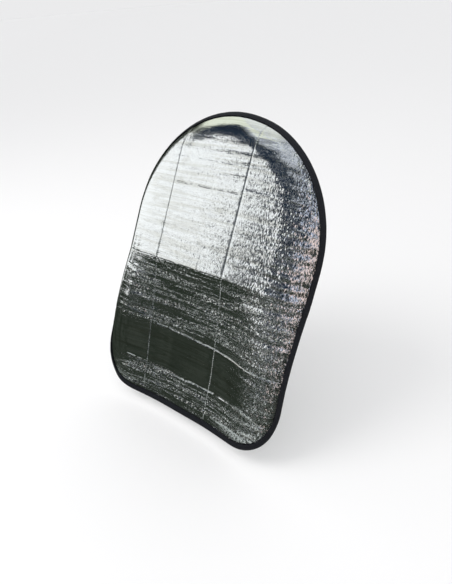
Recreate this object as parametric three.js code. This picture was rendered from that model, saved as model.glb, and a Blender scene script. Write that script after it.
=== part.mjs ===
// Steering wheel sunshade, modelled as it hangs on a wheel in use. Millimetres, +Z up.
// The origin is the centre of the steering wheel, in the plane of its rim. +X is on the driver's
// right, and the driver sits on the -Y side.
//
// The shade is laid out flat first: "across" runs over its width and "up" along its length, with
// up = 0 at the middle fold. sheetPoint() then drapes that flat pattern over the wheel.

import * as THREE from 'three';
import { mergeVertices } from 'three/addons/utils/BufferGeometryUtils.js';

const { clamp, degToRad, lerp, smoothstep } = THREE.MathUtils;

// The wheel that the shade is made for
const RIM_DIAMETER = 370; // over the outside of the rim
const RIM_TUBE = 30; // thickness of the rim
const RIM_CLEARANCE = 2.4; // rim to the back of the panel where it wraps
const WHEEL_TILT = 30; // degrees that the top of the wheel leans away from the driver
const WHEEL_UP = 76; // wheel centre above the middle fold

// How the panel wraps the rim
const RIM_DEPTH = 39; // flat face back to the plane of the rim
const WRAP_RADIUS = 64; // bend radius at the middle of the panel's thickness
const SIDE_WRAP = 77; // flat length that is wrapped at each side
const TOP_WRAP = 49; // flat length that is wrapped at the top
const DOME_STRETCH = 1.06; // the dome is this much taller than it is wide
const TURN = { left: { fold: 84, bottom: 27 }, right: { fold: 98, bottom: 56 } }; // degrees

// Flat outline below the dome
const BELOW_FOLD = 268; // middle fold to the bottom edge
const ARCH_START = 45; // above the fold, where the sides begin to round over
const CORNER_RADIUS = 96; // bottom corners

// How the lower half hangs
const LOWER_TURN = 3; // degrees that it turns in at the middle fold
const FOLD_LENGTH = 30; // length over which it turns
const LOWER_HOLLOW = 38; // depth of the hollow along its middle
const HOLLOW_FLAT = 40; // half width of the deepest part of the hollow
const SIDE_BOW = 14; // how far the sides bow out
const BOTTOM_CURL = 22; // how far the bottom corners curl back
const PLEAT_DEPTH = 7.3; // dent in the skirt above the right seal line
const PLEAT_WIDTH = 35;
const PLEAT_RUN = 50; // wrapped length over which the dent deepens

// The laminate: foil on both faces of an air cushion, sealed into one sheet
const PANEL_THICKNESS = 4;
const EDGE_THICKNESS = 2.4; // squeezed by the edge tape
const RIB_PITCH = 16;
const RIB_DEPTH = 0.8;
const RIGHT_SEAL = 53; // across, from the middle
const SEAL_SPACING = 145;
const SEAL_WIDTH = 4;
const SEAL_DEPTH = 1; // on each face
const SEAL_REACH = 0.75; // share of a short row that the seal lines keep inside
const UPPER_CREASE = 136; // creases left by storing it folded, from the middle fold
const MIDDLE_FOLD = 0;
const LOWER_CREASE = -121;
const BOTTOM_CREASE = 66; // above the bottom edge
const CREASE_WIDTH = 5;
const CREASE_DEPTH = 0.8;
const CREASE_PINCH = 0.6; // taken off each face

// The woven tape that is folded round the whole edge
const TAPE_WIDTH = 10;
const TAPE_THICKNESS = 0.9;
const LAP_LENGTH = 16; // where the tape's ends overlap, just below the right end of the fold
const TAPE_EASE = 0.6; // between the panel and the inside of the tape

// The elastic strap behind the rim
const STRAP_WIDTH = 22;
const STRAP_THICKNESS = 1.2;
const STRAP_UP = 30; // middle of the strap above the fold
const STRAP_CLEARANCE = 1; // to the back of the rim
const STRAP_BEND_LENGTH = 9; // length that each of its turns takes up
const STRAP_SEAT = 0.3; // between its ends and the tape that they are sewn to

// Fineness of the meshes
const CELLS = { left: 7, middle: 6, right: 9 };
const CAP_SHARE = 0.55; // of the next row's width, for the row along the top of the arch
const CORNER_SHARE = 0.42; // of the corner's radius that the bottom row takes in
const BEND_STEPS = 6;
const DIFFERENCE = 0.05; // step for slopes

// Values that follow
const rimMiddle = (RIM_DIAMETER - RIM_TUBE) / 2;
const rimReach = WRAP_RADIUS - PANEL_THICKNESS / 2 - RIM_CLEARANCE - RIM_TUBE / 2;
const crestRadius = rimMiddle - Math.sqrt(rimReach ** 2 - (WRAP_RADIUS - RIM_DEPTH) ** 2);
const panelHalf = crestRadius + SIDE_WRAP;
const topEdge = WHEEL_UP + DOME_STRETCH * (crestRadius + TOP_WRAP);
const leftSeal = RIGHT_SEAL - SEAL_SPACING;
const creases = [UPPER_CREASE, MIDDLE_FOLD, LOWER_CREASE, BOTTOM_CREASE - BELOW_FOLD];

// The taped line is the inner edge of the tape, all the way round.
const lineHalf = panelHalf - TAPE_WIDTH;
const lineBottom = TAPE_WIDTH - BELOW_FOLD;
const lineRise = topEdge - TAPE_WIDTH - ARCH_START;
const lineCorner = CORNER_RADIUS - TAPE_WIDTH;

// Directions in the part's frame: up along the wheel's plane, and out of it towards the driver.
function upAlong(tilt) {
  return new THREE.Vector3(0, Math.sin(tilt), Math.cos(tilt));
}

function outFrom(tilt) {
  return new THREE.Vector3(0, -Math.cos(tilt), Math.sin(tilt));
}

const tilt = degToRad(WHEEL_TILT);
const lowerTilt = degToRad(WHEEL_TILT - LOWER_TURN);
const upper = { up: upAlong(tilt), out: outFrom(tilt) };
const lower = { up: upAlong(lowerTilt), out: outFrom(lowerTilt) };
const foldMiddle = new THREE.Vector3()
  .addScaledVector(upper.up, -WHEEL_UP)
  .addScaledVector(upper.out, RIM_DEPTH);

// Angle, in radians, through which the panel may turn round the rim at one place on its length.
function wrapTurn(across, up) {
  const side = across < 0 ? TURN.left : TURN.right;
  return degToRad(lerp(side.fold, side.bottom, smoothstep(-up / BELOW_FOLD, 0, 1)));
}

// How far the middle of the panel stands out of its flat plane, apart from the wrap.
function hang(across, up, wrapped) {
  const down = clamp(-up / BELOW_FOLD, 0, 1);
  const sides = smoothstep(Math.abs(across), HOLLOW_FLAT, panelHalf);
  const hollow = -LOWER_HOLLOW * down * (2 - down) * (1 - sides);
  const edge = (SIDE_BOW * Math.sin(Math.PI * down) - BOTTOM_CURL * down ** 4) * sides;
  const pleat = smoothstep(wrapped, 0, PLEAT_RUN)
    * Math.exp(-(((across - RIGHT_SEAL) / PLEAT_WIDTH) ** 2));
  return hollow + edge - PLEAT_DEPTH * pleat;
}

// Place on the draped sheet's middle surface of one point of the flat pattern.
function sheetPoint(across, up) {
  const inDome = up > WHEEL_UP;
  const rise = inDome ? (up - WHEEL_UP) / DOME_STRETCH : 0;
  const radius = Math.hypot(across, rise);
  const past = radius - crestRadius;
  const wrapped = Math.max(past, 0);
  const turn = Math.min(wrapped / WRAP_RADIUS, wrapTurn(across, up));
  const straight = wrapped - turn * WRAP_RADIUS;
  const reach = WRAP_RADIUS * Math.sin(turn) + straight * Math.cos(turn);
  const depth = WRAP_RADIUS * (1 - Math.cos(turn)) + straight * Math.sin(turn);
  const grown = past > 0 ? (crestRadius + reach) / radius : 1;
  const x = across * grown;
  const y = inDome ? WHEEL_UP + DOME_STRETCH * rise * grown : up;
  const z = hang(across, up, wrapped) - depth;
  const blend = smoothstep(y, -FOLD_LENGTH / 2, FOLD_LENGTH / 2);
  const place = (frame) => new THREE.Vector3(x, 0, 0)
    .addScaledVector(frame.up, y).addScaledVector(frame.out, z);
  return place(lower).lerp(place(upper), blend).add(foldMiddle);
}

// The same, a height above the middle surface, on the driver's side if the height is positive.
function drape(across, up, height) {
  const alongAcross = sheetPoint(across + DIFFERENCE, up).sub(sheetPoint(across - DIFFERENCE, up));
  const alongUp = sheetPoint(across, up + DIFFERENCE).sub(sheetPoint(across, up - DIFFERENCE));
  const normal = alongAcross.cross(alongUp).normalize();
  return sheetPoint(across, up).addScaledVector(normal, height);
}

// Half the width inside the taped line at one height.
function halfWidth(up) {
  if (up > ARCH_START) {
    return lineHalf * Math.sqrt(Math.max(1 - ((up - ARCH_START) / lineRise) ** 2, 0));
  }
  const drop = Math.max(lineBottom + lineCorner - up, 0);
  return lineHalf - lineCorner + Math.sqrt(Math.max(lineCorner ** 2 - drop ** 2, 0));
}

// Direction out of the pattern at a point of the taped line.
function edgeNormal(point) {
  if (point.y > ARCH_START) {
    return new THREE.Vector2(point.x / lineHalf ** 2, (point.y - ARCH_START) / lineRise ** 2)
      .normalize();
  }
  const beside = Math.max(Math.abs(point.x) - (lineHalf - lineCorner), 0) * Math.sign(point.x);
  const below = Math.min(point.y - (lineBottom + lineCorner), 0);
  return new THREE.Vector2(beside, below).normalize();
}

// Heights of the pattern's rows: a row on each rib's crest and valley and three at each crease.
function rowHeights() {
  const step = RIB_PITCH / 2;
  const lowest = lineBottom + lineCorner * (1 - Math.sqrt(1 - CORNER_SHARE ** 2));
  const highest = ARCH_START + lineRise;
  const rows = [];
  for (let k = Math.ceil(lowest / step); k * step < highest - step / 2; k += 1) {
    const clear = creases.every((crease) => Math.abs(k * step - crease) > (CREASE_WIDTH + step / 2) / 2);
    if (clear && k * step > lowest + step / 4) rows.push(k * step);
  }
  for (const crease of creases) {
    rows.push(crease - CREASE_WIDTH / 2, crease, crease + CREASE_WIDTH / 2);
  }
  return rows.sort((first, second) => first - second);
}

const rows = rowHeights();
const capHalf = CAP_SHARE * halfWidth(rows[rows.length - 1]);
const bottomHalf = lineHalf - lineCorner + CORNER_SHARE * lineCorner;
const leftSealColumn = CELLS.left + 1;
const rightSealColumn = leftSealColumn + CELLS.middle + 2;
const columnCount = rightSealColumn + CELLS.right + 2;
const rowCount = rows.length + 2;

// Columns of one row: three fields, with three columns at each of the two seal lines.
function columnsOf(half) {
  const inside = SEAL_REACH * half;
  const left = clamp(leftSeal, -inside, inside);
  const right = clamp(RIGHT_SEAL, -inside, inside);
  const side = Math.min(SEAL_WIDTH / 2, (half - inside) / 4);
  const field = (from, to, cells) => Array.from({ length: cells + 1 }, (_, k) =>
    lerp(from, to, k / cells));
  return [
    ...field(-half, left - side, CELLS.left), left,
    ...field(left + side, right - side, CELLS.middle), right,
    ...field(right + side, half, CELLS.right),
  ];
}

// A point of the pattern's grid. The first and last rows follow the taped line itself.
function gridPoint(column, row) {
  if (row === 0) {
    const across = columnsOf(bottomHalf)[column];
    const beside = Math.max(Math.abs(across) - (lineHalf - lineCorner), 0);
    return new THREE.Vector2(across,
      lineBottom + lineCorner - Math.sqrt(lineCorner ** 2 - beside ** 2));
  }
  if (row === rowCount - 1) {
    const across = columnsOf(capHalf)[column];
    return new THREE.Vector2(across,
      ARCH_START + lineRise * Math.sqrt(1 - (across / lineHalf) ** 2));
  }
  const up = rows[row - 1];
  return new THREE.Vector2(columnsOf(halfWidth(up))[column], up);
}

// Ribs and creases move the sheet in or out, and creases and seal lines pinch it.
function relief(column, row, point) {
  const crease = creases.includes(point.y);
  const seal = column === leftSealColumn || column === rightSealColumn;
  const shift = crease ? -CREASE_DEPTH : RIB_DEPTH * Math.cos((2 * Math.PI * point.y) / RIB_PITCH);
  const pinch = (crease ? CREASE_PINCH : 0) + (seal ? SEAL_DEPTH : 0);
  return { shift, half: Math.max(PANEL_THICKNESS / 2 - pinch, EDGE_THICKNESS / 2) };
}

// A closed geometry whose corners are shared and that has no collapsed faces.
function closed(geometry) {
  geometry.deleteAttribute('normal');
  geometry.deleteAttribute('uv');
  const merged = mergeVertices(geometry);
  const kept = [];
  const { array } = merged.index;
  for (let k = 0; k < array.length; k += 3) {
    const [a, b, c] = [array[k], array[k + 1], array[k + 2]];
    if (a !== b && b !== c && c !== a) kept.push(a, b, c);
  }
  merged.setIndex(kept);
  merged.computeVertexNormals();
  return merged;
}

// The panel: a thin box whose grid is moved onto the draped pattern. Its outermost ring is the
// margin under the tape.
function frontPanel() {
  const across = columnCount + 1;
  const along = rowCount + 1;
  const geometry = new THREE.BoxGeometry(across, along, PANEL_THICKNESS, across, along, 1);
  const position = geometry.attributes.position;
  const corner = new THREE.Vector3();
  for (let k = 0; k < position.count; k += 1) {
    corner.fromBufferAttribute(position, k);
    const i = Math.round(corner.x + across / 2) - 1;
    const j = Math.round(corner.y + along / 2) - 1;
    const column = clamp(i, 0, columnCount - 1);
    const row = clamp(j, 0, rowCount - 1);
    const point = gridPoint(column, row);
    const onLine = column === 0 || row === 0 || column === columnCount - 1 || row === rowCount - 1;
    const form = onLine ? { shift: 0, half: EDGE_THICKNESS / 2 } : relief(column, row, point);
    if (i !== column || j !== row) point.addScaledVector(edgeNormal(point), TAPE_WIDTH);
    const place = drape(point.x, point.y, form.shift + Math.sign(corner.z) * form.half);
    position.setXYZ(k, place.x, place.y, place.z);
  }
  return closed(geometry);
}

// Points of the taped line, once round it anticlockwise as the driver sees it.
function tapedLine() {
  const line = [];
  for (let row = 0; row < rowCount; row += 1) line.push(gridPoint(columnCount - 1, row));
  for (let column = columnCount - 2; column >= 0; column -= 1) {
    line.push(gridPoint(column, rowCount - 1));
  }
  for (let row = rowCount - 2; row >= 0; row -= 1) line.push(gridPoint(0, row));
  for (let column = 1; column < columnCount - 1; column += 1) line.push(gridPoint(column, 0));
  return line;
}

// The tape's folded section: distance out from the taped line, and height above the sheet.
function tapeSection(thickness) {
  const inner = EDGE_THICKNESS / 2 + TAPE_EASE;
  const outer = inner + thickness;
  const nose = TAPE_WIDTH + TAPE_EASE;
  const bevel = outer / 2;
  return [
    [nose + TAPE_THICKNESS, outer - bevel], [nose + TAPE_THICKNESS - bevel, outer], [0, outer],
    [0, inner], [nose, inner], [nose, -inner], [0, -inner],
    [0, -outer], [nose + TAPE_THICKNESS - bevel, -outer], [nose + TAPE_THICKNESS, bevel - outer],
  ];
}

// The tape: a ring that runs along the taped line with that section, doubled at its lap.
function edgeBinding() {
  const line = tapedLine();
  const corners = tapeSection(TAPE_THICKNESS).length;
  const geometry = new THREE.TorusGeometry(panelHalf, TAPE_WIDTH, corners, line.length);
  const position = geometry.attributes.position;
  for (let k = 0; k < position.count; k += 1) {
    const point = line[k % (line.length + 1) % line.length];
    const inLap = point.x > 0 && point.y <= -CREASE_WIDTH && point.y >= -CREASE_WIDTH - LAP_LENGTH;
    const section = tapeSection(inLap ? 2 * TAPE_THICKNESS : TAPE_THICKNESS);
    const [outward, height] = section[Math.floor(k / (line.length + 1)) % corners];
    const flat = point.clone().addScaledVector(edgeNormal(point), outward);
    const place = drape(flat.x, flat.y, height);
    position.setXYZ(k, place.x, place.y, place.z);
  }
  return closed(geometry);
}

// Place, across and out, of a point on the side wrap beside the wheel, seen along the wheel.
function wrapPoint(wrapped, height) {
  const turn = wrapped / WRAP_RADIUS;
  const radius = WRAP_RADIUS + height;
  return new THREE.Vector2(crestRadius + radius * Math.sin(turn),
    radius * Math.cos(turn) - WRAP_RADIUS);
}

// Middle of the strap from its right tab to the middle, in the same plane.
function strapPath() {
  const seat = -(EDGE_THICKNESS / 2 + TAPE_EASE + TAPE_THICKNESS + STRAP_SEAT + STRAP_THICKNESS / 2);
  const start = wrapPoint(SIDE_WRAP - TAPE_WIDTH, seat);
  const end = wrapPoint(SIDE_WRAP, seat);
  const behind = -(RIM_DEPTH + RIM_TUBE / 2 + STRAP_CLEARANCE + STRAP_THICKNESS / 2);
  const rimAcross = Math.sqrt(rimMiddle ** 2 - (WHEEL_UP - STRAP_UP) ** 2);
  const along = end.clone().sub(start).normalize();
  const turn = end.clone().addScaledVector(along, STRAP_BEND_LENGTH / 2);
  const shoulder = new THREE.Vector2(rimAcross + RIM_TUBE / 2, behind);
  const leg = shoulder.clone().sub(turn).normalize();
  const afterTurn = turn.clone().addScaledVector(leg, STRAP_BEND_LENGTH / 2);
  const beforeShoulder = shoulder.clone().addScaledVector(leg, -STRAP_BEND_LENGTH / 2);
  return new THREE.Path()
    .moveTo(start.x, start.y)
    .lineTo(end.x, end.y)
    .quadraticCurveTo(turn.x, turn.y, afterTurn.x, afterTurn.y)
    .lineTo(beforeShoulder.x, beforeShoulder.y)
    .quadraticCurveTo(shoulder.x, shoulder.y, shoulder.x - STRAP_BEND_LENGTH / 2, shoulder.y)
    .lineTo(0, behind);
}

// The strap: its side profile, carried over its width.
function elasticStrap() {
  const half = strapPath().getPoints(BEND_STEPS);
  const middle = [...half, ...half.slice(0, -1).reverse().map((p) => new THREE.Vector2(-p.x, p.y))];
  const side = (offset) => middle.map((point, k) => {
    const before = middle[Math.max(k - 1, 0)];
    const after = middle[Math.min(k + 1, middle.length - 1)];
    const along = after.clone().sub(before).normalize();
    return point.clone().add(new THREE.Vector2(-along.y, along.x).multiplyScalar(offset));
  });
  const outline = [...side(STRAP_THICKNESS / 2), ...side(-STRAP_THICKNESS / 2).reverse()];
  return closed(new THREE.ExtrudeGeometry(new THREE.Shape(outline),
    { depth: STRAP_WIDTH, bevelEnabled: false }));
}

const foil = new THREE.MeshStandardMaterial({ color: 0xcfd4d8, roughness: 0.25, metalness: 1 });
const tape = new THREE.MeshStandardMaterial({ color: 0x14171d, roughness: 0.85, metalness: 0 });
const elastic = new THREE.MeshStandardMaterial({ color: 0x1b1b1e, roughness: 0.8, metalness: 0 });

const sunshade = new THREE.Group();

function add(name, geometry, material) {
  const mesh = new THREE.Mesh(geometry, material);
  mesh.name = name;
  sunshade.add(mesh);
  return mesh;
}

add('front_panel', frontPanel(), foil);
add('edge_binding', edgeBinding(), tape);

const strap = add('elastic_strap', elasticStrap(), elastic);
strap.quaternion.setFromRotationMatrix(new THREE.Matrix4().makeBasis(
  new THREE.Vector3(1, 0, 0), upper.out, upper.up.clone().negate()));
strap.position.copy(foldMiddle).addScaledVector(upper.up, STRAP_UP + STRAP_WIDTH / 2);

export default sunshade;
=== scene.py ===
"""Looks of a steering wheel sunshade: foil panel, edge tape and elastic strap."""

import math

import bmesh
import bpy
from bpy.props import FloatProperty, FloatVectorProperty, IntProperty, PointerProperty
from mathutils import Matrix, Vector, noise


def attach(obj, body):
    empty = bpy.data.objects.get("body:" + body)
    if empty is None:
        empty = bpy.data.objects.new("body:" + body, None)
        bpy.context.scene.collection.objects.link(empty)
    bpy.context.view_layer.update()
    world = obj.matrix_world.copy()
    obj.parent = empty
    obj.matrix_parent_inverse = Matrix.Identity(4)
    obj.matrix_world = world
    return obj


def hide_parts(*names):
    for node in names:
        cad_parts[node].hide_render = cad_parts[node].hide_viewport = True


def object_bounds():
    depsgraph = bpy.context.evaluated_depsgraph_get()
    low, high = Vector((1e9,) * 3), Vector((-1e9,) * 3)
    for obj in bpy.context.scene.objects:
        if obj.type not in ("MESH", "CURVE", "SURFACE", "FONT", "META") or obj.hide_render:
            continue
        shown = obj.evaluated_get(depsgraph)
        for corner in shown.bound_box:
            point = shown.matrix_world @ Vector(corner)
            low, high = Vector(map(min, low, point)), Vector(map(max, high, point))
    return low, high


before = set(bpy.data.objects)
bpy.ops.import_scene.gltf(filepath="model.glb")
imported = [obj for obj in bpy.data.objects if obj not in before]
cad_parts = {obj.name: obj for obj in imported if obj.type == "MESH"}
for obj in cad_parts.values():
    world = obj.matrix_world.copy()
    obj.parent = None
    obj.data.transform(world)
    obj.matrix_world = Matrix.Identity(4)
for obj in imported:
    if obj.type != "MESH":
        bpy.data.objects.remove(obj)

bl_info = {
    "name": "Steering Wheel Sunshade",
    "version": (1, 0, 0),
    "blender": (4, 5, 0),
    "location": "View3D > Sidebar > Sunshade",
    "description": "Builds the foil panel, edge tape and strap of a steering wheel sunshade",
    "category": "Object",
}

CAD_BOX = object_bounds()
BODY = "root"


# Sizes and colours

def length(name, description, default):
    """A size in metres."""
    return FloatProperty(name=name, description=description, default=default, unit="LENGTH")


def angle(name, description, degrees):
    """An angle, given in degrees."""
    return FloatProperty(name=name, description=description, default=math.radians(degrees),
                         subtype="ANGLE")


def colour(name, description, default):
    """A linear colour."""
    return FloatVectorProperty(name=name, description=description, default=default,
                               subtype="COLOR", min=0.0, max=1.0)


class SunshadeWheel(bpy.types.PropertyGroup):
    """The wheel that the shade hangs on, and how the panel wraps it."""

    rim_diameter: length("Rim diameter", "Over the outside of the rim", 0.370)
    rim_tube: length("Rim tube", "Thickness of the rim", 0.030)
    rim_clearance: length("Rim clearance", "Rim to the back of the wrapped panel", 0.0024)
    rim_depth: length("Rim depth", "Flat face back to the plane of the rim", 0.039)
    tilt: angle("Wheel tilt", "How far the top of the wheel leans away", 30)
    up: length("Wheel height", "Wheel centre above the middle fold", 0.076)
    wrap_radius: length("Wrap radius", "Bend radius round the rim", 0.064)
    side_wrap: length("Side wrap", "Flat length wrapped at each side", 0.077)
    top_wrap: length("Top wrap", "Flat length wrapped at the top", 0.049)
    stretch: FloatProperty(name="Dome stretch", description="Height of the dome over its width",
                           default=1.06)
    left_fold: angle("Left turn at fold", "Largest wrap at the left end of the fold", 84)
    left_bottom: angle("Left turn at bottom", "Largest wrap at the bottom left", 27)
    right_fold: angle("Right turn at fold", "Largest wrap at the right end of the fold", 98)
    right_bottom: angle("Right turn at bottom", "Largest wrap at the bottom right", 56)


class SunshadePattern(bpy.types.PropertyGroup):
    """The flat pattern below the dome, and how its lower half hangs."""

    below_fold: length("Below the fold", "Middle fold to the bottom edge", 0.268)
    arch_start: length("Arch start", "Height above the fold where the sides round over", 0.045)
    corner_radius: length("Corner radius", "Bottom corners", 0.096)
    lower_turn: angle("Lower turn", "How far the lower half turns in at the fold", 3)
    fold_length: length("Fold length", "Length over which it turns", 0.030)
    hollow: length("Hollow", "Depth of the hollow along the lower half", 0.038)
    hollow_flat: length("Hollow flat", "Half width of the deepest part of the hollow", 0.040)
    side_bow: length("Side bow", "How far the lower sides bow out", 0.014)
    bottom_curl: length("Bottom curl", "How far the bottom corners curl back", 0.022)
    pleat_depth: length("Pleat depth", "Dent in the skirt above the right seal line", 0.0073)
    pleat_width: length("Pleat width", "Width of that dent", 0.035)
    pleat_run: length("Pleat run", "Length of wrap over which the dent deepens", 0.050)


class SunshadeLaminate(bpy.types.PropertyGroup):
    """The foil laminate, its seal lines, ribs and creases."""

    thickness: length("Thickness", "Foil laminate over its air cushion", 0.004)
    edge_thickness: length("Edge thickness", "Laminate squeezed by the tape", 0.0024)
    rib_pitch: length("Rib pitch", "Distance between cross ribs", 0.016)
    rib_depth: length("Rib depth", "Height of a rib", 0.00020)
    right_seal: length("Right seal", "Right seal line from the middle", 0.053)
    seal_spacing: length("Seal spacing", "Distance between the seal lines", 0.145)
    seal_width: length("Seal width", "Width of a seal line's groove", 0.0022)
    seal_depth: length("Seal depth", "Depth of the groove on each face", 0.00025)
    upper_crease: length("Upper crease", "Storage crease above the fold", 0.136)
    lower_crease: length("Lower crease", "Storage crease below the fold", -0.121)
    bottom_crease: length("Bottom crease", "Storage crease above the bottom edge", 0.066)
    crease_depth: length("Crease depth", "Depth of a storage crease", 0.0004)
    crease_width: length("Crease width", "Half width of a storage crease", 0.0026)
    cell: length("Mesh cell", "Size of one cell of the panel's mesh", 0.0026)


class SunshadeTrim(bpy.types.PropertyGroup):
    """The edge tape, its stitches and the elastic strap."""

    tape_width: length("Tape width", "Edge tape, on each face", 0.010)
    tape_thickness: length("Tape thickness", "Woven tape", 0.0009)
    tape_ease: length("Tape ease", "Laminate to the inside of the tape", 0.0006)
    lap_length: length("Lap length", "Where the tape's ends overlap", 0.016)
    lap_up: length("Lap height", "Top of the lap above the fold", -0.005)
    stitch_row: length("Stitch row", "Row of stitches from the tape's inner edge", 0.0028)
    stitch_sink: length("Stitch sink", "How far the row sinks into the tape", 0.00024)
    stitch_pitch: length("Stitch pitch", "One stitch to the next", 0.0042)
    stitch_length: length("Stitch length", "Thread that shows of one stitch", 0.0029)
    thread: length("Thread", "Thickness of the thread", 0.00042)
    strap_width: length("Strap width", "Flat elastic strap", 0.022)
    strap_thickness: length("Strap thickness", "Flat elastic strap", 0.0012)
    strap_up: length("Strap height", "Middle of the strap above the fold", 0.030)
    strap_clearance: length("Strap clearance", "Strap to the back of the rim", 0.001)
    strap_bend: length("Strap bend", "Length that each of its turns takes up", 0.009)
    strap_seat: length("Strap seat", "Strap's ends to the tape below them", 0.0003)


class SunshadeFinish(bpy.types.PropertyGroup):
    """Colours of the three materials."""

    foil: colour("Foil", "Metallised film", (0.86, 0.88, 0.885))
    # Darker, warmer film colour: painted shade laid across the film in rows, with random duller
    # patches
    foil_shade_and_mottle: colour("Worn foil", "Film dulled along its creases", (0.62, 0.62, 0.57))
    foil_roughness: FloatProperty(name="Foil roughness", description="Of the film", default=0.08)
    tape: colour("Tape", "Woven edge tape", (0.007, 0.008, 0.012))
    tape_worn: colour("Worn tape", "Raised threads of the tape", (0.020, 0.022, 0.030))
    elastic: colour("Elastic", "Strap", (0.010, 0.010, 0.012))
    elastic_rib: colour("Elastic ribs", "Raised ribs of the strap", (0.032, 0.032, 0.036))


class SunshadeStage(bpy.types.PropertyGroup):
    """Camera, floor and light."""

    camera_across: length("Camera across", "Camera to the right of the wheel", 0.4702)
    camera_back: length("Camera back", "Camera in front of the wheel", 0.5573)
    camera_up: length("Camera up", "Camera above the wheel's centre", 0.3355)
    camera_yaw: angle("Camera yaw", "How far it turns to the left", 40.22)
    camera_pitch: angle("Camera pitch", "How far it looks down", 32.4)
    camera_roll: angle("Camera roll", "Turn about its own axis", -4.72)
    focal_pixels: FloatProperty(name="Focal length", description="In pixels of the image",
                                default=466.5)
    image_width: IntProperty(name="Image width", description="In pixels", default=452)
    image_height: IntProperty(name="Image height", description="In pixels", default=584)
    sensor: FloatProperty(name="Sensor", description="Long side, in millimetres", default=36.0)
    floor_gap: length("Floor gap", "Floor below the lowest point of the shade", 0.020)
    floor_size: length("Floor size", "Half the width of the floor", 60.0)
    lamp_across: length("Lamp across", "Lamp to the right of the wheel", -0.9)
    lamp_back: length("Lamp back", "Lamp in front of the wheel", 1.0)
    lamp_up: length("Lamp up", "Lamp above the wheel's centre", 1.6)
    lamp_size: length("Lamp size", "Its width", 1.2)
    lamp_power: FloatProperty(name="Lamp power", description="Of the lamp", default=14.0,
                              unit="POWER")
    lamp: colour("Lamp", "Its light", (1.0, 0.99, 0.97))
    floor: colour("Floor", "Pale floor", (0.93, 0.93, 0.93))
    backdrop: colour("Backdrop", "Pale surroundings", (0.92, 0.92, 0.93))


class Sunshade(bpy.types.PropertyGroup):
    """Everything that a user would change."""

    wheel: PointerProperty(type=SunshadeWheel)
    pattern: PointerProperty(type=SunshadePattern)
    laminate: PointerProperty(type=SunshadeLaminate)
    trim: PointerProperty(type=SunshadeTrim)
    finish: PointerProperty(type=SunshadeFinish)
    stage: PointerProperty(type=SunshadeStage)


# The draped pattern

def smooth(value, low, high):
    """0 below low, 1 above high, and a smooth step between."""
    t = min(max((value - low) / (high - low), 0.0), 1.0)
    return t * t * (3 - 2 * t)


def mix(first, second, share):
    """The value that lies that share of the way from the first to the second."""
    return first + (second - first) * share


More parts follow.
